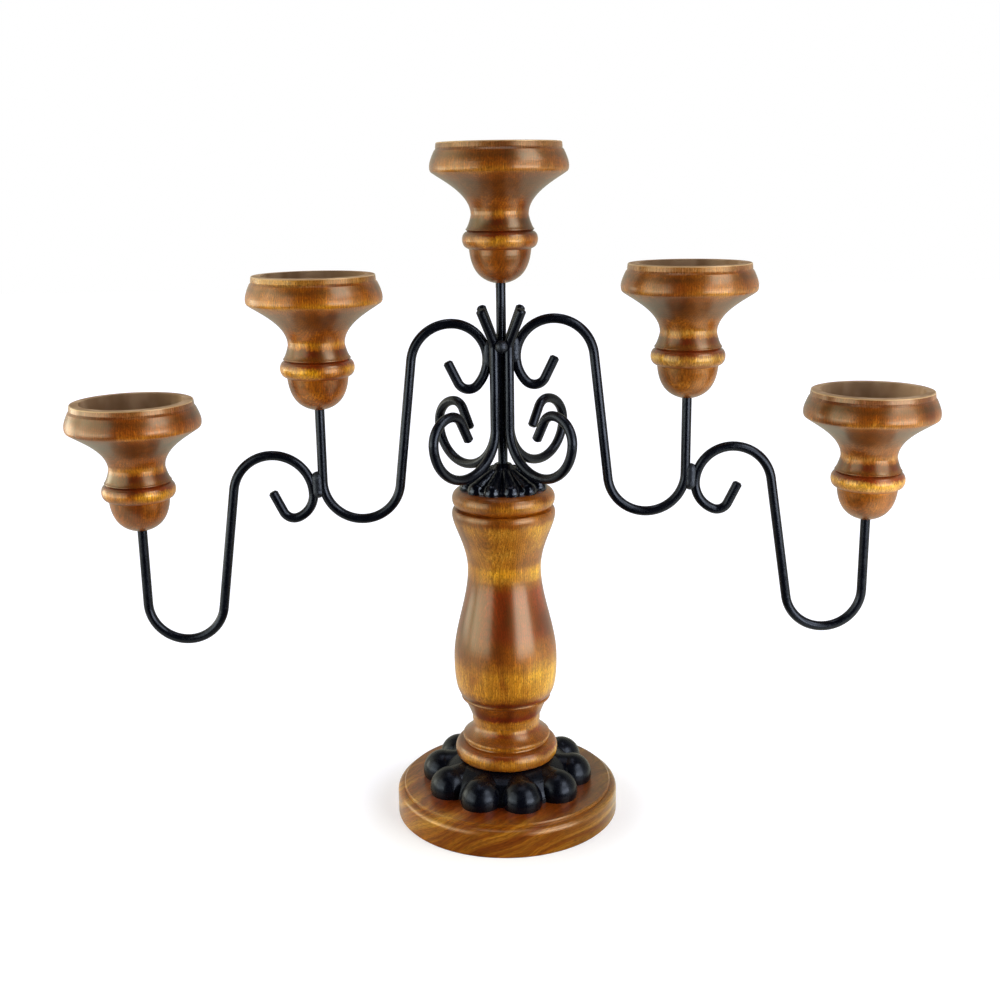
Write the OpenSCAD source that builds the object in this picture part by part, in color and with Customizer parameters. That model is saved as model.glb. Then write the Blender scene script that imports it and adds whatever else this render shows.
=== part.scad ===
// Tabletop candelabra for five candles: a turned wooden stand carries a welded frame of bent round rod,
// with one turned wooden cup on the centre rod and two on each side arm.
// Every bent rod lies in one vertical plane through the centre line and is drawn as straights and bends.

/* [Base disc] */
// Diameter of the round base
base_d = 152.4; // [120:0.1:200]
// Height of the base up to the seat of the lower rosette
base_h = 21.4; // [18:0.1:30]
// Height of the upright wall of the base
base_wall_h = 14.6; // [12:0.1:17]
// Width of the rounded shoulder between wall and top
base_shoulder = 3.7; // [2:0.1:6]
// Depth of the counterbore that hides the nut under the base
base_pocket_h = 9; // [8:0.1:12]
// Diameter of that counterbore
base_pocket_d = 30; // [27:0.1:40]

/* [Column] */
// Height of the turned column between the two rosettes
column_h = 189.7; // [189.7:0.1:230]
// Largest radius of the vase shaped body
column_belly_r = 35; // [32:0.1:38]
// Radius of the flared shoulder below the top bead
column_shoulder_r = 34.4; // [32:0.1:38]
// Radius at the narrow waist
column_waist_r = 24.6; // [20:0.1:28]
// Radius at the neck above the foot
column_neck_r = 22.6; // [18:0.1:24]
// Radius of the half round foot bead
column_foot_r = 35.2; // [33:0.1:37]

/* [Cups] */
// Overall height of one turned cup
cup_h = 86.5; // [84:0.1:95]
// Radius of the candle recess
recess_r = 33.5; // [25:0.1:34]
// Depth of the candle recess
recess_h = 18; // [10:0.1:20]
// Outer radius at the rim
rim_r = 39.4; // [38:0.1:41]
// Largest radius, at the band below the rim
band_r = 43.7; // [42:0.1:46]
// Radius at the waist of the cup
cup_waist_r = 18.3; // [15:0.1:20]
// Radius of the bead under the waist
cup_bead_r = 24; // [22:0.1:26]
// Radius of the bowl where it meets the bead
bowl_r = 19.7; // [17:0.1:20.5]
// Height of the middle cup's rim above the table
top_rim_z = 450; // [445:0.5:480]

/* [Rods] */
// Diameter of the round rod that all wires are bent from
rod_d = 6.35; // [5:0.05:6.5]
// Air left between touching round parts
fit_gap = 0.3; // [0.2:0.05:0.5]

/* [Side arms] */
// Radius of the outer half of the bottom bend, next to the cup
u_outer_r = 25.6; // [24:0.1:27]
// Turn of that outer half in degrees
u_outer_turn = 117.5; // [115:0.5:120]
// Radius of the inner half of the bottom bend
u_inner_r = 25.9; // [25:0.1:28]
// Length of the long slanting straight
slant_len = 82.6; // [80:0.1:85]
// Radius of the cup side of the top arch
arch_r = 26.5; // [25.5:0.1:28]
// Height from the middle of the arch's top down to the middle of the hook's bottom
hook_drop = 42.6; // [41:0.1:45]
// Turn of the widest part below the arch on the inner arms in degrees
inner_swing_turn = 42; // [38:1:50]
// Turn of that part on the outer arms in degrees
outer_swing_turn = 68; // [60:1:74]
// Radius of the small hook
hook_r = 7.6; // [7:0.1:9]
// Turn from the arch's inner side to the hook's tip in degrees
hook_total_turn = 154; // [145:1:160]
// Length of the straight hook tip
hook_tip_len = 14.4; // [10:0.1:18]

/* [Arm places] */
// Right inner arm: distance of its cup from the centre line
right_inner_reach = 120.4; // [118:0.1:123]
// Right inner arm: height of its cup's rim
right_inner_rim_z = 374.5; // [368:0.1:378]
// Right inner arm: height where its bottom bend starts
right_inner_bend_z = 237.5; // [234:0.1:240]
// Right inner arm: lean of its slanting straight in degrees
right_inner_lean = 6.5; // [6:0.1:8]
// Left inner arm: distance of its cup from the centre line
left_inner_reach = 119.2; // [118:0.1:123]
// Left inner arm: height of its cup's rim
left_inner_rim_z = 370.1; // [368:0.1:378]
// Left inner arm: height where its bottom bend starts
left_inner_bend_z = 234.9; // [234:0.1:240]
// Left inner arm: lean of its slanting straight in degrees
left_inner_lean = 6.5; // [6:0.1:8]
// Right outer arm: distance of its cup from the centre line
right_outer_reach = 241.3; // [238:0.1:244]
// Right outer arm: height of its cup's rim
right_outer_rim_z = 291.3; // [286:0.1:296]
// Right outer arm: height where its bottom bend starts
right_outer_bend_z = 154.9; // [150:0.1:157]
// Right outer arm: lean of its slanting straight in degrees
right_outer_lean = 9; // [7:0.1:9.5]
// Left outer arm: distance of its cup from the centre line
left_outer_reach = 241.3; // [238:0.1:244]
// Left outer arm: height of its cup's rim
left_outer_rim_z = 290.3; // [286:0.1:296]
// Left outer arm: height where its bottom bend starts
left_outer_bend_z = 151.9; // [150:0.1:157]
// Left outer arm: lean of its slanting straight in degrees
left_outer_lean = 8.2; // [7:0.1:9.5]

/* [Scrolls] */
// Height where the scroll rods leave the centre rod at the top
scroll_top_z = 322; // [320:0.5:326]
// Height where they start to curl outwards at the bottom
scroll_bottom_z = 269; // [266.5:0.5:272]
// Length of the flared tip
scroll_tip_len = 21.5; // [15:0.5:26]
// Outward lean of the flared tip in degrees
scroll_tip_lean = 28; // [20:1:32]
// Radius of the bend under the tip
scroll_tip_r = 12; // [10:0.5:16]
// Radius of the curl's first quarter, out from the stem
curl_out_r = 28.5; // [27:0.5:30]
// Radius of the curl's second quarter, round its outer side
curl_side_r = 26; // [24:0.5:28]
// Radius of the curl's third quarter, over its top
curl_top_r = 16; // [15:0.5:18]
// Radius of the curl's last part
curl_end_r = 9; // [9:0.5:12]
// Turn of the last, tightest part of the curl in degrees
curl_end_turn = 62; // [40:1:70]
// Length of the straight end of the curl
curl_end_len = 13.5; // [8:0.5:15]
// How much tighter than the others the rear right curl is wound
curl_rear_tighter = 2; // [0:0.5:3]

/* [Rosettes] */
// Number of lobes of the lower rosette
lower_lobes = 10; // [8:1:11]
// Turn of the lower rosette about the centre line in degrees
lower_turn = 12.5; // [0:0.5:36]
// Radius of a lower lobe's round tip
lower_lobe_r = 13.6; // [12:0.1:14]
// Distance of the tip's centre from the centre line
lower_lobe_reach = 45.2; // [42:0.1:48]
// Height of the lower rosette
lower_rosette_h = 18.1; // [17:0.1:19]
// Number of lobes of the upper rosette
upper_lobes = 12; // [8:1:14]
// Radius of an upper lobe's round tip
upper_lobe_r = 6; // [5:0.1:6.2]
// Distance of the upper tip's centre from the centre line
upper_lobe_reach = 23.4; // [22:0.1:24]
// Height of the upper rosette
upper_rosette_h = 16.8; // [15:0.1:20]

/* [Fasteners] */
// Width of the hexagon nuts across the flats
nut_flats = 11.1; // [10:0.1:12.5]
// Height of the nuts
nut_h = 5.6; // [5:0.1:6]
// Outer diameter of the small washers
washer_d = 15.9; // [14:0.1:16.5]
// Thickness of the washers
washer_h = 1.2; // [0.8:0.1:1.4]
// Outer diameter of the wide washer under the base
wide_washer_d = 25.4; // [20:0.1:26]
// Diameter of the nut pocket in a cup's floor
cup_pocket_d = 20; // [18:0.1:22]
// Depth of the nut pocket in a cup's floor
cup_pocket_h = 8; // [7.5:0.1:9]

/* [Hidden] */
$fn = 96;

wood = [0.62, 0.38, 0.17];
dark_iron = [0.07, 0.07, 0.08];
zinc = [0.72, 0.72, 0.70];

rod_r = rod_d / 2;
bore_r = rod_r + fit_gap;
column_z = base_h + lower_rosette_h;
column_top = column_z + column_h;
stud_above_nut = 0.6;
stud_top = cup_pocket_h - washer_h - nut_h - stud_above_nut + recess_h;
rod_pitch = rod_d + fit_gap;
hub_touch = 2 * rod_pitch * sin(45);
tip_chamfer = 1.1;
right_inner = [right_inner_reach, right_inner_rim_z, right_inner_bend_z, right_inner_lean];
left_inner = [left_inner_reach, left_inner_rim_z, left_inner_bend_z, left_inner_lean];
right_outer = [right_outer_reach, right_outer_rim_z, right_outer_bend_z, right_outer_lean];
left_outer = [left_outer_reach, left_outer_rim_z, left_outer_bend_z, left_outer_lean];

// Direction helpers: a wire frame is [x, z, heading]; heading 0 points up and grows towards +x.
function step_straight(f, len) = [f[0] + len * sin(f[2]), f[1] + len * cos(f[2]), f[2]];
function step_bend(f, r, turn) =
    let (side = sign(turn), h = f[2] + turn,
         cx = f[0] + side * r * cos(f[2]), cz = f[1] - side * r * sin(f[2]))
    [cx - side * r * cos(h), cz + side * r * sin(h), h];
function step_end(f, s) = s[0] == 0 ? step_straight(f, s[1]) : step_bend(f, s[0], s[1]);
function wire_frames(path, f, i = 0) =
    i == len(path) ? [f] : concat([f], wire_frames(path, step_end(f, path[i]), i + 1));

// Points along a smooth curve with two end points and two handles; the first point is left out.
function curve(p, n) = [
    for (i = [1:n]) let (t = i / n, u = 1 - t)
        u * u * u * p[0] + 3 * u * u * t * p[1] + 3 * u * t * t * p[2] + t * t * t * p[3]
];

// One length of bent rod. Each step is [0, length] for a straight or [radius, angle] for a bend.
// The ball at each joint is a hair larger than the rod. The far end always has a chamfered tip.
module wire(path, start, r = rod_r) {
    frames = wire_frames(path, start);
    for (i = [0:len(path) - 1]) {
        s = path[i];
        f = frames[i];
        side = sign(s[1]);
        translate([f[0], 0, f[1]]) rotate([0, f[2], 0]) {
            if (s[0] == 0) cylinder(r = r, h = s[1], $fn = 32);
            else translate([side * s[0], 0, 0]) rotate([90, 0, 0]) rotate([0, 0, side > 0 ? 180 - s[1] : 0])
                rotate_extrude(angle = abs(s[1])) translate([s[0], 0]) circle(r = r, $fn = 32);
            if (i > 0) sphere(r = r * 1.01, $fn = 32);
        }
    }
    rod_tip(frames[len(path)], r);
}

module rod_tip(f, r) {
    translate([f[0], 0, f[1]]) rotate([0, f[2], 0]) translate([0, 0, -0.05])
        cylinder(r1 = r * 0.985, r2 = r * 0.62, h = tip_chamfer, $fn = 32);
}

// A side arm hangs from its cup: down, round the bottom bend, up the slant, over the arch and into the hook.
// `arm` is [reach, rim height, bend height, lean]; its arch comes down beside the rod at distance `touch`.
function arm_start(arm) = [arm[0], arm[1] - stud_top, 180];
function arm_rise(arm) = [
    [0, arm[1] - stud_top - arm[2]], [u_outer_r, u_outer_turn], [u_inner_r, 180 - arm[3] - u_outer_turn],
    [0, slant_len], [arch_r, arm[3] - 90]];
function arch_top(arm) = wire_frames(arm_rise(arm), arm_start(arm))[5];
function arm_path(arm, touch, swing_turn) =
    let (inside_r = arch_top(arm)[0] - touch,
         swing_r = (hook_drop - inside_r - hook_r) / sin(swing_turn) + hook_r)
    concat(arm_rise(arm), [[inside_r, -90], [swing_r, -swing_turn], [hook_r, swing_turn - hook_total_turn],
                           [0, hook_tip_len]]);

module inner_wire(arm, r = rod_r) {
    wire(arm_path(arm, hub_touch, inner_swing_turn), arm_start(arm), r);
}

module outer_wire(arm, next, r = rod_r) {
    wire(arm_path(arm, next[0] + rod_pitch, outer_swing_turn), arm_start(arm), r);
}

// A scroll rod runs down beside the centre rod and curls outwards above the upper rosette.
// The curls are bent by hand; tighter is how many mm sooner one starts and how much closer it is wound.
module scroll_wire(r = rod_r, tighter = 0) {
    low_z = scroll_bottom_z + tighter;
    out_r = curl_out_r - 0.4 * tighter;
    side_r = curl_side_r - 0.8 * tighter;
    bend = step_bend([0, 0, 0], scroll_tip_r, scroll_tip_lean);
    tip = step_straight(bend, scroll_tip_len);
    start = [rod_pitch + tip[0], scroll_top_z + tip[1], 180 + scroll_tip_lean];
    wire([[0, scroll_tip_len], [scroll_tip_r, -scroll_tip_lean], [0, scroll_top_z - low_z],
          [out_r, -90], [side_r, -90], [curl_top_r, -90], [curl_end_r, -curl_end_turn],
          [0, curl_end_len]], start, r);
    rod_tip([start[0], start[1], scroll_tip_lean], r);
}

module scroll(turn, tighter = 0) {
    color(dark_iron) rotate([0, 0, turn]) scroll_wire(rod_r, tighter);
}

module inner_arm(arm) {
    color(dark_iron) inner_wire(arm);
}

module outer_arm(arm, next) {
    color(dark_iron) outer_wire(arm, next);
}

module base_disc() {
    edge = 0.8;
    r = base_d / 2;
    rise = base_h - base_wall_h;
    color(wood) rotate_extrude($fn = 128) polygon(concat(
        [[bore_r, base_pocket_h], [base_pocket_d / 2, base_pocket_h], [base_pocket_d / 2, 0], [r - edge, 0],
         [r, edge], [r, base_wall_h]],
        curve([[r, base_wall_h], [r, base_wall_h + rise * 0.35],
               [r - base_shoulder * 0.4, base_wall_h + rise * 0.6],
               [r - base_shoulder, base_wall_h + rise * 0.65]], 8),
        [[r - base_shoulder - edge, base_wall_h + rise * 0.65], [r - base_shoulder - edge, base_h - edge],
         [r - base_shoulder - 2 * edge, base_h], [bore_r, base_h]]));
}

module washer(d) {
    difference() {
        cylinder(d = d, h = washer_h);
        translate([0, 0, -1]) cylinder(r = bore_r, h = washer_h + 2);
    }
}

module hex_nut() {
    difference() {
        intersection() {
            cylinder(d = nut_flats / cos(30), h = nut_h, $fn = 6);
            cylinder(r1 = nut_flats * 0.53, r2 = nut_flats * 0.78, h = nut_h);
            cylinder(r1 = nut_flats * 0.78, r2 = nut_flats * 0.53, h = nut_h);
        }
        translate([0, 0, -1]) cylinder(r = bore_r, h = nut_h + 2);
    }
}

module base_washer() {
    color(zinc) translate([0, 0, base_pocket_h - washer_h]) washer(wide_washer_d);
}

module base_nut() {
    color(zinc) translate([0, 0, base_pocket_h - washer_h - nut_h]) hex_nut();
}

// A rosette lobe: a tapering body from a small root up to a round tip.
module lobe(root, root_r, tip, tip_r) {
    run = tip[0] - root[0];
    drop = tip[1] - root[1];
    translate([root[0], 0, root[1]]) {
        sphere(r = root_r * 1.01, $fn = 48);
        rotate([0, 90 - atan2(drop, run), 0])
            cylinder(r1 = root_r, r2 = tip_r * 0.985, h = norm([run, drop]), $fn = 48);
    }
    translate([tip[0], 0, tip[1]]) sphere(r = tip_r, $fn = 64);
}

module lower_rosette() {
    rim_r = 48;
    seat_r = 31;
    lobe_z = base_h + 4;
    step = 360 / lower_lobes;
    color(dark_iron) difference() {
        union() {
            for (i = [0:lower_lobes - 1]) rotate([0, 0, i * step + lower_turn - 90])
                lobe([27, column_z - 10.4], 10.4, [lower_lobe_reach, lobe_z], lower_lobe_r);
            rotate_extrude() polygon(concat(
                [[0, base_h], [rim_r, base_h], [rim_r, base_h + 2.5]],
                curve([[rim_r, base_h + 2.5], [rim_r - 1, base_h + 9], [rim_r - 7, column_z - 2],
                       [seat_r, column_z]], 12),
                [[0, column_z]]));
        }
        translate([0, 0, base_h - 40]) cylinder(r = 80, h = 40);
        translate([0, 0, column_z]) cylinder(r = 80, h = 20);
        translate([0, 0, base_h - 1]) cylinder(r = bore_r, h = lower_rosette_h + 2);
    }
}

// Turned column: foot bead, small bead, ogee neck, vase body, waist, flared shoulder, groove and top bead.
module column() {
    belly = column_belly_r;
    shoulder = column_shoulder_r;
    waist = column_waist_r;
    neck = column_neck_r;
    foot = column_foot_r;
    top = column_top;
    z = column_z;
    ring = 0.6;
    color(wood) rotate_extrude($fn = 128) polygon(concat(
        [[bore_r, z], [foot - 3.5, z]],
        curve([[foot - 3.5, z], [foot + 1.3, z + 0.4], [foot + 1.3, z + 10.9], [foot - 4.1, z + 11.7]], 14),
        [[foot - 6.4, z + 12.1], [foot - 6.6, z + 12.9]],
        curve([[foot - 6.6, z + 12.9], [foot - 5, z + 13.5], [foot - 4.8, z + 15.7],
               [foot - 6, z + 16.5]], 8),
        curve([[foot - 6, z + 16.5], [neck + 2.9, z + 19.2], [neck - 0.3, z + 22.4],
               [neck + 0.1, z + 26.4]], 12),
        [[neck + ring, z + 26.8], [neck + ring, z + 28]],
        curve([[neck + 0.3, z + 28.3], [neck + 1.4, z + 32.8], [neck + 3.8, z + 37.7],
               [neck + 5.8, z + 42.4]], 12),
        curve([[neck + 6.8, z + 42.7], [neck + 8, z + 43], [neck + 8.2, z + 44.2],
               [neck + 7.8, z + 44.9]], 6),
        [[neck + 7.4, z + 45.3]],
        curve([[neck + 8.1, z + 45.7], [neck + 11, z + 50], [belly, z + 56.5], [belly, z + 72]], 20),
        curve([[belly, z + 72], [belly, z + 92.6], [waist, z + 113.9], [waist, z + 134.5]], 20),
        curve([[waist, z + 134.5], [waist, top - 38.3], [shoulder, top - 24.9], [shoulder, top - 16.8]], 16),
        curve([[shoulder, top - 16.8], [shoulder, top - 14.8], [shoulder - 0.4, top - 13.8],
               [shoulder - 1, top - 13.2]], 5),
        [[shoulder - 3.9, top - 12.9]],
        curve([[shoulder - 3.7, top - 12.5], [shoulder + 0.2, top - 11.2], [shoulder + 2.2, top - 2.2],
               [shoulder - 5, top]], 14),
        [[bore_r, top]]));
}

module column_washer() {
    color(zinc) translate([0, 0, column_top]) washer(washer_d);
}

module column_nut() {
    color(zinc) translate([0, 0, column_top + washer_h]) hex_nut();
}

module upper_rosette() {
    z = column_top;
    cavity_r = washer_d / 2 + 1.6;
    cavity_h = washer_h + nut_h + 0.7;
    rim_r0 = upper_lobe_reach + 3;
    step = 360 / upper_lobes;
    color(dark_iron) difference() {
        union() {
            rotate_extrude() polygon(concat(
                [[0, z], [rim_r0, z], [rim_r0, z + 2]],
                curve([[rim_r0, z + 2], [rim_r0 - 6, z + 5.5], [10, z + upper_rosette_h * 0.66],
                       [7, z + upper_rosette_h * 0.86]], 10),
                [[5.5, z + upper_rosette_h - 0.4], [4.6, z + upper_rosette_h], [0, z + upper_rosette_h]]));
            for (i = [0:upper_lobes - 1]) rotate([0, 0, (i + 0.5) * step - 3])
                lobe([9.5, z + upper_rosette_h * 0.66], 3, [upper_lobe_reach, z + 1.6], upper_lobe_r);
        }
        translate([0, 0, z - 20]) cylinder(r = 60, h = 20);
        translate([0, 0, z - 1]) cylinder(r = cavity_r, h = cavity_h + 1);
        translate([0, 0, z]) cylinder(r = bore_r, h = upper_rosette_h + 2);
    }
}

module center_rod() {
    foot = base_pocket_h - washer_h - nut_h - stud_above_nut;
    color(dark_iron) translate([0, 0, foot]) cylinder(r = rod_r, h = top_rim_z - stud_top - foot, $fn = 48);
}

// Rods as they are cut out of the weld metal.
module hub_rod_clearance() {
    translate([0, 0, scroll_bottom_z]) cylinder(r = bore_r, h = 80, $fn = 48);
    for (turn = [45, 135, 225, 315]) rotate([0, 0, turn]) scroll_wire(bore_r);
}

module weld_bead(x, r, z0, z1) {
    translate([x, 0, z0]) {
        cylinder(r = r, h = z1 - z0, $fn = 48);
        sphere(r = r * 1.005, $fn = 48);
        translate([0, 0, z1 - z0]) sphere(r = r * 1.005, $fn = 48);
    }
}

// Weld metal that fills the valleys between the scroll rods at the front and the rear.
module crown_welds() {
    color(dark_iron) difference() {
        for (turn = [90, 270]) rotate([0, 0, turn])
            translate([rod_pitch + 0.7, 0, scroll_top_z + 1.5]) sphere(r = 4.1, $fn = 48);
        hub_rod_clearance();
    }
}

// Weld metal between the inner side of an inner arm's arch and the two scroll rods beside it.
module hub_weld(arm) {
    arch_z = arch_top(arm)[1];
    color(dark_iron) difference() {
        weld_bead(8.1, 4.5, arch_z - 24.5, arch_z - 15);
        hub_rod_clearance();
        inner_wire(arm, bore_r);
    }
}

// Weld metal between the inner side of an outer arm's arch and the upright of the inner arm.
module arm_weld(arm, next) {
    arch_z = arch_top(arm)[1];
    color(dark_iron) difference() {
        weld_bead(next[0] + 3.4, 4.4, arch_z - 24.6, arch_z - 15.5);
        inner_wire(next, bore_r);
        outer_wire(arm, next, bore_r);
    }
}

// Turned cup, drawn downwards from its rim: rim strip, band, cove, waist, groove, bead and rounded bowl.
module cup(rim_z) {
    waist_z = -cup_h + 42.6;
    bead_top = waist_z - 10.3;
    bead_low = waist_z - 20.7;
    floor_z = -recess_h - cup_pocket_h;
    round = 0.7;
    color(wood) translate([0, 0, rim_z]) rotate_extrude($fn = 128) polygon(concat(
        [[bore_r, floor_z], [cup_pocket_d / 2, floor_z], [cup_pocket_d / 2, -recess_h], [recess_r, -recess_h],
         [recess_r, 0], [rim_r - round, 0], [rim_r - 0.2, -0.2], [rim_r, -round], [rim_r + 0.3, -3.4],
         [rim_r + 0.1, -3.8]],
        curve([[rim_r + 0.7, -4], [band_r - 2.2, -7.1], [band_r, -11.3], [band_r, -14.6]], 8),
        curve([[band_r, -14.6], [band_r, -16.1], [band_r - 0.2, -17.2], [band_r - 0.9, -18]], 5),
        curve([[band_r - 0.9, -18], [band_r - 6.1, -22.1], [cup_waist_r, waist_z + 13],
               [cup_waist_r, waist_z]], 18),
        curve([[cup_waist_r, waist_z], [cup_waist_r, waist_z - 1.1], [cup_bead_r - 3.8, waist_z - 7.8],
               [cup_bead_r - 2.4, waist_z - 8.9]], 10),
        [[cup_bead_r - 2.2, waist_z - 9.4], [cup_bead_r - 3.3, bead_top]],
        curve([[cup_bead_r - 3.3, bead_top], [cup_bead_r + 1.1, bead_top - 0.8],
               [cup_bead_r + 1, bead_low + 1.6], [cup_bead_r - 2.7, bead_low]], 12),
        [[bowl_r + 0.1, bead_low - 0.8]],
        curve([[bowl_r, bead_low - 1.4], [bowl_r - 1.4, -cup_h + 5.7], [bowl_r - 8.8, -cup_h + 1.7],
               [bore_r + 1.2, -cup_h]], 16),
        [[bore_r, -cup_h]]));
}

// Everything a cup is held by sits at this place.
module at_cups() {
    translate([0, 0, top_rim_z]) children();
    for (arm = [right_inner, right_outer]) translate([arm[0], 0, arm[1]]) children();
    for (arm = [left_inner, left_outer]) translate([-arm[0], 0, arm[1]]) children();
}

module cup_washers() {
    color(zinc) at_cups() translate([0, 0, -recess_h - cup_pocket_h]) washer(washer_d);
}

module cup_nuts() {
    color(zinc) at_cups() translate([0, 0, -recess_h - cup_pocket_h + washer_h]) hex_nut();
}

base_disc();
base_washer();
base_nut();
lower_rosette();
column();
column_washer();
column_nut();
upper_rosette();
center_rod();
scroll(225);  // scroll_front_left
scroll(315);  // scroll_front_right
scroll(135);  // scroll_rear_left
scroll(45, curl_rear_tighter);  // scroll_rear_right
mirror([1, 0, 0]) inner_arm(left_inner);  // arm_left_inner
inner_arm(right_inner);  // arm_right_inner
mirror([1, 0, 0]) outer_arm(left_outer, left_inner);  // arm_left_outer
outer_arm(right_outer, right_inner);  // arm_right_outer
crown_welds();
mirror([1, 0, 0]) hub_weld(left_inner);  // hub_weld_left
hub_weld(right_inner);  // hub_weld_right
mirror([1, 0, 0]) arm_weld(left_outer, left_inner);  // arm_weld_left
arm_weld(right_outer, right_inner);  // arm_weld_right
cup(top_rim_z);  // cup_top
translate([-left_inner[0], 0, 0]) cup(left_inner[1]);  // cup_left_inner
translate([right_inner[0], 0, 0]) cup(right_inner[1]);  // cup_right_inner
translate([-left_outer[0], 0, 0]) cup(left_outer[1]);  // cup_left_outer
translate([right_outer[0], 0, 0]) cup(right_outer[1]);  // cup_right_outer
cup_washers();
cup_nuts();
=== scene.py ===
import bpy
import bmesh
import math
from mathutils import Matrix, Vector


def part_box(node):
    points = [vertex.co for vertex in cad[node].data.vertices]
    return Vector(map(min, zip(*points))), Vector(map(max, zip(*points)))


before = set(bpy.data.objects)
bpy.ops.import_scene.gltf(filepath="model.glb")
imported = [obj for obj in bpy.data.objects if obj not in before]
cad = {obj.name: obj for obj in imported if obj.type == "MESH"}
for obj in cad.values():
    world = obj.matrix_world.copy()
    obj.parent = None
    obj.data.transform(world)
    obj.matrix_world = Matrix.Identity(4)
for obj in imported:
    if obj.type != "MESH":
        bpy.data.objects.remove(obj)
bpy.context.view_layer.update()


# ---------------------------------------------------------------- camera
# It stands 83 cm in front of the candelabra, a little lower than the top cup's rim, and looks down on it.
# It hangs slightly out of level.
eye = (-0.0023, -0.8281, 0.4267)
degrees_down = 13.97
degrees_out_of_level = 0.796
camera_data = bpy.data.cameras.new("camera")
camera_data.lens = 46.26
camera_data.sensor_width = 36.0
camera_data.clip_end = 20.0
camera = bpy.data.objects.new("camera", camera_data)
camera.matrix_world = (Matrix.Translation(eye)
                       @ Matrix.Rotation(math.radians(90.0 - degrees_down), 4, "X")
                       @ Matrix.Rotation(math.radians(-degrees_out_of_level), 4, "Z"))
bpy.context.collection.objects.link(camera)
bpy.context.scene.camera = camera
bpy.context.scene.view_settings.view_transform = "Standard"


# ---------------------------------------------------------------- room
# A studio that is plain white to the eye. Lacquer and paint mirror the rest of it: a bright wall at the
# left, greyer ones behind and at the right, a dim ceiling, and the dark room in front of the table.
class Net:
    """Adds shader nodes by name and wires values or other nodes into them."""

    def __init__(self, tree):
        self.tree = tree
        tree.nodes.clear()

    def feed(self, socket, value):
        if isinstance(value, bpy.types.NodeSocket):
            self.tree.links.new(value, socket)
        elif socket.type == "RGBA":
            socket.default_value = (*value, 1.0)
        else:
            socket.default_value = value

    def add(self, kind, out=0, props=None, **inputs):
        """An input goes by its name, or by its place as i0, i1 and so on. out is the output's place."""
        node = self.tree.nodes.new(kind)
        for key, value in (props or {}).items():
            setattr(node, key, value)
        for key, value in inputs.items():
            by_place = key[0] == "i" and key[1:].isdigit()
            socket = node.inputs[int(key[1:]) if by_place else key.replace("_", " ")]
            self.feed(socket, value)
        return node.outputs[out] if len(node.outputs) > out else None

    def math(self, operation, *values):
        inputs = {f"i{number}": value for number, value in enumerate(values)}
        return self.add("ShaderNodeMath", props={"operation": operation}, **inputs)

    def split(self, vector):
        """The x, y and z of a vector."""
        node = self.tree.nodes.new("ShaderNodeSeparateXYZ")
        self.feed(node.inputs[0], vector)
        return node.outputs[0], node.outputs[1], node.outputs[2]

    def length(self, vector):
        return self.add("ShaderNodeVectorMath", out=1, props={"operation": "LENGTH"}, i0=vector)

    def scaled(self, vector, scale, shift=(0, 0, 0)):
        """Stretches a place in metres, so that noise of scale 1 has that many cells a metre each way."""
        return self.add("ShaderNodeMapping", Vector=vector, Scale=scale, Location=shift)

    def noise(self, vector, scale, detail=2.0, rough=0.5):
        return self.add("ShaderNodeTexNoise", Vector=vector, Scale=scale, Detail=detail, Roughness=rough)

    def mix(self, factor, a, b, blend="MIX"):
        node = self.tree.nodes.new("ShaderNodeMix")
        node.data_type = "RGBA"
        node.blend_type = blend
        self.feed(node.inputs["Factor"], factor)
        self.feed(node.inputs["A"], a)
        self.feed(node.inputs["B"], b)
        return node.outputs["Result"]

    def ramp(self, factor, stops, mode="EASE"):
        """stops: (place from 0 to 1, colour or grey level) from low to high."""
        node = self.tree.nodes.new("ShaderNodeValToRGB")
        node.color_ramp.interpolation = mode
        elements = node.color_ramp.elements
        while len(elements) < len(stops):
            elements.new(1.0)
        for element, (place, value) in zip(elements, stops):
            element.position = place
            colour = value if isinstance(value, tuple) else (value, value, value)
            element.color = (*colour, 1.0)
        self.feed(node.inputs["Fac"], factor)
        return node.outputs["Color"]

    def toned(self, colour, factor, stops, mode="EASE"):
        """A colour multiplied by what a ramp gives at factor."""
        return self.mix(1.0, colour, self.ramp(factor, stops, mode), "MULTIPLY")

    def bearing(self, x, y):
        """0.5 straight in front, 0.75 to the right, 0.25 to the left, and 0 or 1 behind."""
        turn = self.math("ARCTAN2", x, self.math("MULTIPLY", y, -1.0))
        return self.math("ADD", self.math("DIVIDE", turn, 2.0 * math.pi), 0.5)


world = bpy.data.worlds.new("room")
bpy.context.scene.world = world
world.use_nodes = True
light_on_wood = 3.4
light_in_gloss = 1.7
net = Net(world.node_tree)
x, y, up = net.split(net.add("ShaderNodeTexCoord", out=0))
walls = net.ramp(net.bearing(x, y),
                 [(0.0, 0.30), (0.13, 0.42), (0.19, (1.0, 0.95, 0.82)), (0.25, (0.9, 0.85, 0.75)),
                  (0.33, 0.20), (0.42, 0.015), (0.55, 0.012), (0.62, 0.08), (0.74, 0.22), (0.82, 0.30),
                  (1.0, 0.30)])
room = net.toned(walls, up, [(0.0, (1.0, 0.97, 0.76)), (0.55, (0.8, 0.78, 0.62)), (0.8, (0.25, 0.24, 0.2)),
                             (1.0, (0.15, 0.15, 0.14))])
is_gloss = net.add("ShaderNodeLightPath", out=3)
level = net.math("MULTIPLY_ADD", is_gloss, light_in_gloss - light_on_wood, light_on_wood)
dim = net.add("ShaderNodeBackground", Color=room, Strength=level)
white = net.add("ShaderNodeBackground", Color=(1.0, 1.0, 1.0), Strength=1.0)
is_camera = net.add("ShaderNodeLightPath", out=0)
net.add("ShaderNodeOutputWorld", Surface=net.add("ShaderNodeMixShader", i0=is_camera, i1=dim, i2=white))


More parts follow.
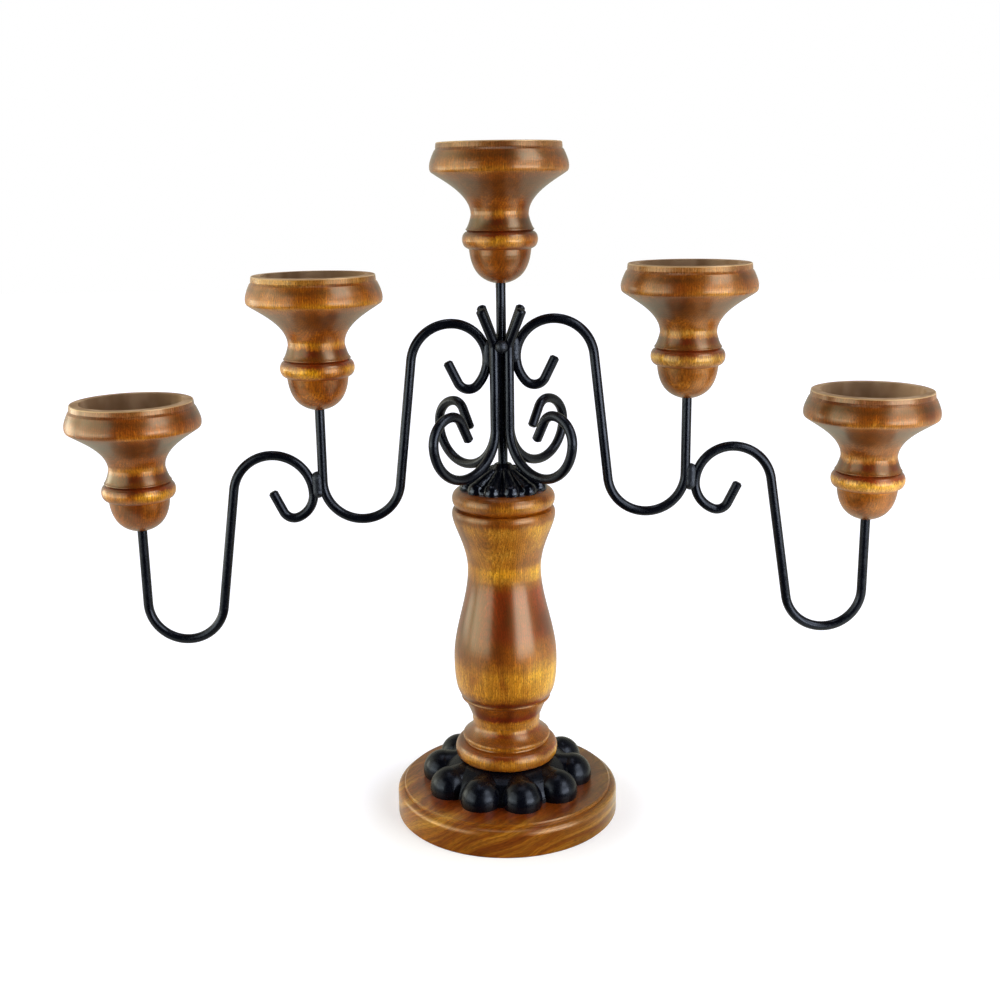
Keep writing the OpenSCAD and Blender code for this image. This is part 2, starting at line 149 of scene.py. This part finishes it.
# ---------------------------------------------------------------- lamps
# Two tall softboxes stand on the floor a metre away, left and right of the camera. Both are hottest near
# the floor, so each is a stack of panels. A white card at the left rear catches the left edges.
# Every panel is a pair of lamps: one seen in the lacquer, the other, of its own strength, on the wood.
warm_white = (1.0, 0.98, 0.88)
lamp_yellow = (1.0, 1.0, 0.80)


def lamp_panel(name, azimuth, distance, width, bottom, top, radiance, tint, in_gloss):
    """A rectangle that faces the candelabra's axis. Either it shows in gloss only, or it only lights."""
    turn = math.radians(azimuth)
    data = bpy.data.lights.new(name, "AREA")
    data.shape = "RECTANGLE"
    data.size = width
    data.size_y = top - bottom
    data.energy = radiance * math.pi * width * (top - bottom)
    data.color = tint
    lamp = bpy.data.objects.new(name, data)
    lamp.location = (math.sin(turn) * distance, -math.cos(turn) * distance, (bottom + top) / 2)
    lamp.rotation_euler = Vector((lamp.location.x, lamp.location.y, 0.0)).to_track_quat("Z", "Y").to_euler()
    lamp.visible_camera = False
    lamp.visible_diffuse = not in_gloss
    lamp.visible_glossy = in_gloss
    bpy.context.collection.objects.link(lamp)


def softbox(name, azimuth, distance, width, bottom, top, shine, fill, tint=warm_white):
    """azimuth: degrees to the right of straight in front. shine, fill: its strength in gloss and on wood."""
    lamp_panel(name + "_shine", azimuth, distance, width, bottom, top, shine, tint, True)
    lamp_panel(name + "_fill", azimuth, distance, width, bottom, top, fill, tint, False)


softbox("right_low", 46, 1.05, 0.80, 0.02, 0.34, 6.7, 11.0)
softbox("right_middle", 46, 1.05, 0.80, 0.34, 0.43, 4.9, 6.5)
softbox("right_high", 48, 1.05, 0.85, 0.43, 0.97, 2.6, 4.0)
softbox("right_top", 58, 1.15, 0.80, 0.97, 1.75, 5.0, 1.5)
lamp_panel("right_side_fill", 84, 1.05, 0.60, 0.02, 0.60, 4.0, warm_white, False)
softbox("left_low", -61, 1.05, 1.00, 0.02, 0.36, 3.5, 5.0, lamp_yellow)
softbox("left_high", -61, 1.05, 1.00, 0.36, 0.97, 1.75, 2.6, lamp_yellow)
softbox("left_card", -106, 1.05, 0.50, 0.02, 0.40, 2.2, 3.0, lamp_yellow)
ceiling = bpy.data.lights.new("ceiling_panel", "AREA")
ceiling.size = 0.7
ceiling.energy = 2.5
ceiling_lamp = bpy.data.objects.new("ceiling_panel", ceiling)
ceiling_lamp.location = (0.0, 0.1, 1.5)
ceiling_lamp.visible_camera = False
bpy.context.collection.objects.link(ceiling_lamp)


# ---------------------------------------------------------------- table covering
# Matt white paper. It ends 32 cm in front of the piece, at the dark room, and reaches far past it elsewhere.
# It is lit until it is almost as white as the wall, so the shadow round the base is faint.
def new_material(name):
    made = bpy.data.materials.new(name)
    made.use_nodes = True
    return made, Net(made.node_tree)


half_width = 2.4
front_edge = -0.32
floor_mesh = bpy.data.meshes.new("floor")
grid = bmesh.new()
bmesh.ops.create_grid(grid, x_segments=16, y_segments=16, size=half_width)
grid.to_mesh(floor_mesh)
grid.free()
floor = bpy.data.objects.new("floor", floor_mesh)
floor.location = (0.0, front_edge + half_width, 0.0)
bpy.context.collection.objects.link(floor)

paper, net = new_material("white_paper")
fibre = net.noise(net.add("ShaderNodeTexCoord", out=3), 900.0, 4.0, 0.6)
matt = net.add("ShaderNodeBsdfDiffuse", Color=net.ramp(fibre, [(0.3, 0.9), (0.7, 0.93)]), Roughness=0.5)
glow = net.add("ShaderNodeEmission", Color=(0.82, 0.83, 0.93), Strength=1.60)
here = net.add("ShaderNodeNewGeometry", out=0)
away = net.length(here)
# near the base less of the white glow covers the lit paper, so the shadow stays
washed_out = net.ramp(away, [(0.082, 0.36), (0.12, 0.60), (0.20, 0.85)])
share = net.math("MULTIPLY", net.add("ShaderNodeLightPath", out=0), washed_out)
lit = net.add("ShaderNodeMixShader", i0=share, i1=matt, i2=glow)

# in gloss it is a grey table, dark straight in front; far out it is brightest before the softboxes
x, y, _ = net.split(here)
turn = net.bearing(x, y)
close = net.ramp(turn, [(0.0, 0.25), (0.15, 0.30), (0.21, 0.33), (0.30, 0.22), (0.37, 0.08), (0.42, 0.01),
                        (0.58, 0.01), (0.63, 0.08), (0.70, 0.28), (0.79, 0.48), (0.87, 0.35), (1.0, 0.25)])
afar = net.ramp(turn, [(0.0, 0.25), (0.15, 0.28), (0.21, 0.30), (0.28, 0.38), (0.34, 0.46), (0.42, 0.01),
                       (0.58, 0.01), (0.64, 0.80), (0.70, 0.70), (0.79, 0.36), (0.87, 0.30), (1.0, 0.25)])
table = net.mix(net.ramp(away, [(0.14, 0.0), (0.40, 1.0)]), close, afar)
table = net.mix(1.0, table, (1.0, 0.97, 0.76), "MULTIPLY")
mirrored = net.add("ShaderNodeEmission", Color=table, Strength=2.1)
is_gloss = net.add("ShaderNodeLightPath", out=3)
covering = net.add("ShaderNodeMixShader", i0=is_gloss, i1=lit, i2=mirrored)
net.add("ShaderNodeOutputMaterial", Surface=covering)
floor_mesh.materials.append(paper)


# ---------------------------------------------------------------- base disc
# A disc turned from one flat sawn hardwood board, stained brown and lacquered. It carries everything else,
# held by a nut in its underside. The board's growth layers slant through it and show on every face.
def lacquered(net, body, pores, cover=1.0):
    """Stained wood whose fibres shine softly and golden, under clear gloss lacquer where cover is 1."""
    bump = net.add("ShaderNodeBump", Strength=0.10, Distance=0.0002, Height=pores)
    # the fibres shine mostly golden, with some of the stain's own colour
    shine = net.mix(0.7, net.mix(1.0, body, (5.0, 5.0, 5.0), "MULTIPLY"), (1.0, 0.64, 0.08))
    shader = net.add("ShaderNodeBsdfPrincipled", Base_Color=body, Roughness=0.42, Normal=bump,
                     Specular_IOR_Level=cover, Specular_Tint=shine, Coat_Weight=cover,
                     Coat_Roughness=0.24, Coat_IOR=1.5, Coat_Normal=bump)
    net.add("ShaderNodeOutputMaterial", Surface=shader)


def dress(node, material):
    """Puts a finish on a piece and shades its round faces smooth."""
    mesh = cad[node].data
    mesh.materials.clear()
    mesh.materials.append(material)
    mesh.shade_smooth()
    mesh.set_sharp_from_angle(angle=math.radians(32))


def board_wood(name):
    made, net = new_material(name)
    place = net.add("ShaderNodeTexCoord", out=3)
    x, y, _ = net.split(place)
    across = net.add("ShaderNodeVectorMath", out=1, props={"operation": "DOT_PRODUCT"}, i0=place,
                     i1=(-0.43, 0.31, 0.85))
    bent = net.math("MULTIPLY_ADD", net.noise(place, 24.0, 2.0), 0.012, across)
    layers = net.add("ShaderNodeCombineXYZ", X=bent, Y=x, Z=y)
    layer = net.noise(net.scaled(layers, (260, 9, 9)), 1.0, 4.0, 0.6)
    body = net.ramp(layer, [(0.32, (0.090, 0.012, 0.0004)), (0.46, (0.135, 0.030, 0.001)),
                            (0.58, (0.195, 0.062, 0.003)), (0.72, (0.310, 0.130, 0.012))], "LINEAR")
    thread = net.noise(net.scaled(layers, (1100, 26, 26), (1, 2, 3)), 1.0, 3.0, 0.6)
    body = net.toned(body, thread, [(0.3, 0.74), (0.5, 1.0), (0.72, 1.38)], "LINEAR")
    # painted light on the left half, painted shade with a greyish painted sheen on the right, and painted
    # shade on the top round the casting
    # painted light: paler on the left; painted shade and sheen: darker and greyer on the right
    side = net.math("MULTIPLY_ADD", x, 6.0, 0.5)
    body = net.toned(body, side, [(0.12, (1.35, 1.50, 1.5)), (0.40, 1.0), (0.62, (0.92, 0.86, 0.8)),
                                  (0.9, (0.74, 0.84, 1.2))])
    # painted shade: the top is darker within 6 to 7 cm of the axis, under the casting's lobes
    decimetres_out = net.math("MULTIPLY", net.length(net.add("ShaderNodeCombineXYZ", X=x, Y=y)), 10.0)
    body = net.toned(body, decimetres_out, [(0.60, (0.80, 0.46, 0.4)), (0.70, 1.0)])
    pores = net.noise(net.scaled(layers, (2200, 300, 300)), 1.0, 1.0)
    body = net.toned(body, pores, [(0.30, 0.55), (0.46, 1.0), (0.68, 1.25)], "LINEAR")
    lacquered(net, body, pores)
    return made


dress("base_disc", board_wood("base_wood"))


# ---------------------------------------------------------------- castings
# Two iron castings that sit on the centre rod: one with ten lobes under the column, and a small one with
# twelve on top of it. The lower one is painted satin black, the upper one is glossier and rougher cast.
def black_paint(name, rough, level, lumps, relief):
    """level: how much it mirrors. lumps and relief: how fine and how high its skin's unevenness is."""
    made, net = new_material(name)
    place = net.add("ShaderNodeTexCoord", out=3)
    tone = net.ramp(net.noise(place, 60.0, 3.0),
                    [(0.3, (0.0005, 0.0006, 0.0020)), (0.7, (0.0012, 0.0015, 0.0038))])
    skin = net.noise(place, lumps, 3.0)
    handled = net.noise(place, 220.0, 4.0, 0.6)
    worn = net.ramp(handled, [(0.35, rough - 0.05), (0.65, rough + 0.07)], "LINEAR")
    bump = net.add("ShaderNodeBump", Strength=relief, Distance=0.0005, Height=skin)
    shader = net.add("ShaderNodeBsdfPrincipled", Base_Color=tone, Roughness=worn, Normal=bump,
                     Specular_IOR_Level=level, Specular_Tint=(0.62, 0.72, 1.0))
    net.add("ShaderNodeOutputMaterial", Surface=shader)
    return made


dress("lower_rosette", black_paint("casting_paint", 0.27, 0.33, 260.0, 0.22))
dress("upper_rosette", black_paint("casting_gloss", 0.13, 0.62, 330.0, 0.8))


# ---------------------------------------------------------------- column
# Fine grained hardwood, turned, and stained in bands: red brown in the hollows, golden where the form is
# proud. Clear gloss lacquer over it. The centre rod runs through it and clamps it between the castings.
soot = (0.034, 0.001, 0.0001)
red_brown = (0.076, 0.004, 0.0001)
dusk = (0.056, 0.010, 0.0004)
umber = (0.104, 0.019, 0.0004)
brown = (0.142, 0.030, 0.001)
chestnut = (0.190, 0.056, 0.003)
amber = (0.235, 0.080, 0.006)
gold = (0.330, 0.122, 0.005)


def stain_bands(net, height, tones):
    """Stain by height. One ramp holds too few bands, so ramps are joined at a band that they share."""
    most_in_ramp = 24
    top = tones[-1][0]
    colour = None
    while len(tones) > 1:
        held = tones[:most_in_ramp]
        tones = tones[most_in_ramp - 1:]
        ramp = net.ramp(net.math("DIVIDE", height, top / 1000.0), [(z / top, tone) for z, tone in held])
        if colour is None:
            colour = ramp
        else:
            colour = net.mix(net.math("GREATER_THAN", height, held[0][0] / 1000.0), colour, ramp)
    return colour


def turned_stain(net, place, tones, seed):
    """tones: (height in mm above the foot, stain) from low to high. seed: which blank it is turned from.
    Gives the colour, the pores and the slow noise that the soaking follows."""
    _, _, height = net.split(place)
    # the stain soaks unevenly, so the bands have soft edges that wander by a millimetre or two
    wander = net.noise(net.scaled(place, (60, 60, 30), (seed, 0, 0)), 1.0, 2.0)
    soak = net.noise(net.scaled(place, (700, 700, 160), (seed * 2.0, 0, 0)), 1.0, 2.0, 0.6)
    ragged = net.math("MULTIPLY_ADD", net.math("SUBTRACT", soak, 0.5), 0.0045, height)
    ragged = net.math("MULTIPLY_ADD", net.math("SUBTRACT", wander, 0.5), 0.004, ragged)
    body = stain_bands(net, ragged, tones)
    # one side of a blank drinks more stain than the other, in patches a few centimetres wide
    patch = net.noise(net.scaled(place, (42, 42, 26), (seed * 1.7, seed, 2.0)), 1.0, 2.0, 0.4)
    body = net.toned(body, patch, [(0.36, (0.56, 0.36, 0.35)), (0.48, 1.0), (0.62, (1.28, 1.42, 1.2))])
    # growth lines: rings round a pith that lies outside the piece cut the form in long loops
    grown = net.scaled(place, (1.0, 1.0, 0.22), (0.013 + 0.002 * seed, 0.038, 0.003 * seed))
    rings = {"wave_type": "RINGS", "rings_direction": "Z", "wave_profile": "SIN"}
    ring = net.add("ShaderNodeTexWave", out=1, props=rings, Vector=grown, Scale=210.0, Distortion=2.2,
                   Detail=2.0, Detail_Scale=0.9)
    body = net.toned(body, ring, [(0.0, 0.80), (0.5, 1.0), (1.0, 1.14)], "LINEAR")
    streak = net.noise(net.scaled(place, (300, 300, 14), (seed * 3.1, 0, 0)), 1.0, 4.0, 0.6)
    body = net.toned(body, streak, [(0.25, 0.66), (0.5, 1.0), (0.75, 1.30)], "LINEAR")
    # light dashes along the grain, in bundles
    dash = net.noise(net.scaled(place, (820, 820, 105), (0, seed, 0)), 1.0, 1.0, 0.4)
    bundle = net.noise(net.scaled(place, (150, 150, 30), (seed, 3, 1)), 1.0, 2.0)
    fleck = net.math("MULTIPLY", net.ramp(dash, [(0.49, 0.0), (0.62, 1.0)]),
                     net.ramp(bundle, [(0.38, 0.15), (0.58, 1.0)]))
    pale = net.mix(1.0, body, (1.8, 2.3, 3.6), "MULTIPLY")
    body = net.mix(net.math("MULTIPLY", fleck, 0.5), body, pale)
    pores = net.noise(net.scaled(place, (2100, 2100, 600), (seed, seed, 0)), 1.0, 1.0)
    body = net.toned(body, pores, [(0.30, 0.42), (0.46, 1.0), (0.68, 1.40)], "LINEAR")
    return body, pores, wander


def column_wood(name, foot_z, tones):
    """Its right flank is painted lighter and more golden: painted light from the right."""
    made, net = new_material(name)
    place = net.scaled(net.add("ShaderNodeTexCoord", out=3), (1, 1, 1), (0.0, 0.0, -foot_z))
    body, pores, _ = turned_stain(net, place, tones, 1.0)
    x, _, _ = net.split(place)
    # painted light: brighter from about 1 to 2 cm right of the axis outwards
    body = net.toned(body, net.math("MULTIPLY_ADD", x, 10.0, 0.5), [(0.63, 1.0), (0.73, (1.5, 1.85, 1.2))])
    lacquered(net, body, pores)
    return made


column_tones = [(0, brown), (4, chestnut), (6.5, amber), (8, chestnut), (9.8, red_brown), (12, umber),
                (14.5, chestnut), (17, umber), (20, umber), (22.5, red_brown), (25, chestnut),
                (31, chestnut), (33.5, red_brown), (35.5, red_brown), (38, umber), (42.5, brown),
                (45, umber), (47, red_brown), (50.5, chestnut), (55, gold), (68, gold), (74, chestnut),
                (80, brown), (86, umber), (96, red_brown), (122, red_brown), (128, umber), (132, amber),
                (137, gold), (142, chestnut), (150, amber), (158, chestnut), (168, amber), (171.5, umber),
                (174, umber), (179, brown), (182.5, chestnut), (186, umber), (190, umber)]
dress("column", column_wood("column_wood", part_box("column")[0].z, column_tones))


# ---------------------------------------------------------------- rods
# Quarter inch round steel bar under satin black paint: the straight centre rod, four scrolls round it and
# four side arms. Each is bent from one length and welded to its neighbours.
rod_paint = black_paint("rod_paint", 0.25, 0.42, 500.0, 0.15)
dress("center_rod", rod_paint)
for side in ("left", "right"):
    for row in ("front", "rear"):
        dress(f"scroll_{row}_{side}", rod_paint)
    for reach in ("inner", "outer"):
        dress(f"arm_{side}_{reach}", rod_paint)


# ---------------------------------------------------------------- weld metal
# Rough beads of weld, painted over together with the rods: two at the crown between the scroll rods, and
# one where each arch meets what it leans on.
weld_paint = black_paint("weld_paint", 0.45, 0.85, 420.0, 0.9)
for bead in ("crown_welds", "hub_weld_left", "hub_weld_right", "arm_weld_left", "arm_weld_right"):
    dress(bead, weld_paint)


# ---------------------------------------------------------------- cups
# Five cups, turned, stained and lacquered like the column, each held on the end of its rod by a nut in its
# floor. The candle recess and the top of the rim are raw wood. Round the rim's outer edge runs a painted
# highlight.
bare = (0.140, 0.046, 0.014)
recess_light = (0.55, 0.40, 0.30)
recess_dark = (0.37, 0.25, 0.175)
# painted highlight: the colour of a thin pale ring at the rim's outer edge
rim_highlight_colour = (0.48, 0.30, 0.17)
# raw wood reaches out to raw_radius and down to raw_height above the foot; the painted rim highlight is
# outside it
raw_radius = 0.0386
raw_height = 0.068
edge_height = 0.0858
cup_tones = [(0, umber), (6.5, umber), (10.5, brown), (14.5, umber), (18.5, umber), (22.5, brown),
             (24.5, amber), (27.5, gold), (29, chestnut), (30.5, red_brown), (34.5, dusk), (37.5, soot),
             (39.5, soot), (41, brown), (43, chestnut), (46.5, umber), (50.5, umber), (54.5, dusk),
             (62.5, dusk), (66.5, umber), (69.5, chestnut), (72.5, brown), (75.5, umber), (78.5, dusk),
             (81.5, umber), (83.0, bare), (86.5, bare)]


def cup_wood(name, foot, seed, low_cast, high_cast):
    """foot: the middle of the cup's lower end. low_cast, high_cast: how it takes stain below and above."""
    made, net = new_material(name)
    place = net.scaled(net.add("ShaderNodeTexCoord", out=3), (1, 1, 1), -foot)
    body, pores, wander = turned_stain(net, place, cup_tones, seed)
    x, y, height = net.split(place)
    body = net.toned(body, net.math("MULTIPLY", height, 10.0), [(0.45, low_cast), (0.75, high_cast)])
    radius = net.length(net.add("ShaderNodeCombineXYZ", X=x, Y=y))
    raw = net.math("MULTIPLY", net.math("LESS_THAN", radius, raw_radius),
                   net.math("GREATER_THAN", height, raw_height))
    recess = net.mix(net.ramp(wander, [(0.35, 0.0), (0.65, 1.0)]), recess_dark, recess_light)
    body = net.mix(raw, body, recess)
    # painted highlight: the thin ring outside the raw wood, above edge_height
    edge = net.math("MULTIPLY", net.math("GREATER_THAN", radius, raw_radius),
                    net.math("GREATER_THAN", height, edge_height))
    body = net.mix(edge, body, rim_highlight_colour)
    lacquered(net, body, pores, net.math("SUBTRACT", 1.0, raw))
    return made


casts = {"cup_top": ((1.1, 1.1, 1.0), (1.0, 1.0, 1.0)),
         "cup_left_inner": ((1.5, 1.65, 0.8), (1.55, 1.75, 0.8)),
         "cup_right_inner": ((1.2, 1.5, 4.0), (1.25, 1.35, 1.5)),
         "cup_left_outer": ((1.35, 1.4, 1.2), (1.05, 0.88, 0.9)),
         "cup_right_outer": ((1.4, 1.7, 5.0), (0.95, 0.90, 1.2))}
for number, (cup, (low_cast, high_cast)) in enumerate(casts.items()):
    low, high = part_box(cup)
    foot = Vector(((low.x + high.x) / 2, 0.0, low.z))
    dress(cup, cup_wood(cup + "_wood", foot, 2.0 + number * 1.7, low_cast, high_cast))


# ---------------------------------------------------------------- washers and nuts
# Zinc plated steel, hidden under the base, inside the upper casting and in the cups' floors. The nuts sit
# on the threaded parts of the rods and clamp the wooden pieces.
steel, net = new_material("zinc")
spangle = net.noise(net.add("ShaderNodeTexCoord", out=3), 700.0, 2.0)
tone = net.ramp(spangle, [(0.3, (0.45, 0.45, 0.44)), (0.7, (0.6, 0.6, 0.58))])
net.add("ShaderNodeOutputMaterial",
        Surface=net.add("ShaderNodeBsdfPrincipled", Base_Color=tone, Metallic=1.0, Roughness=0.35))
for fixing in ("base_washer", "base_nut", "column_washer", "column_nut", "cup_washers", "cup_nuts"):
    dress(fixing, steel)
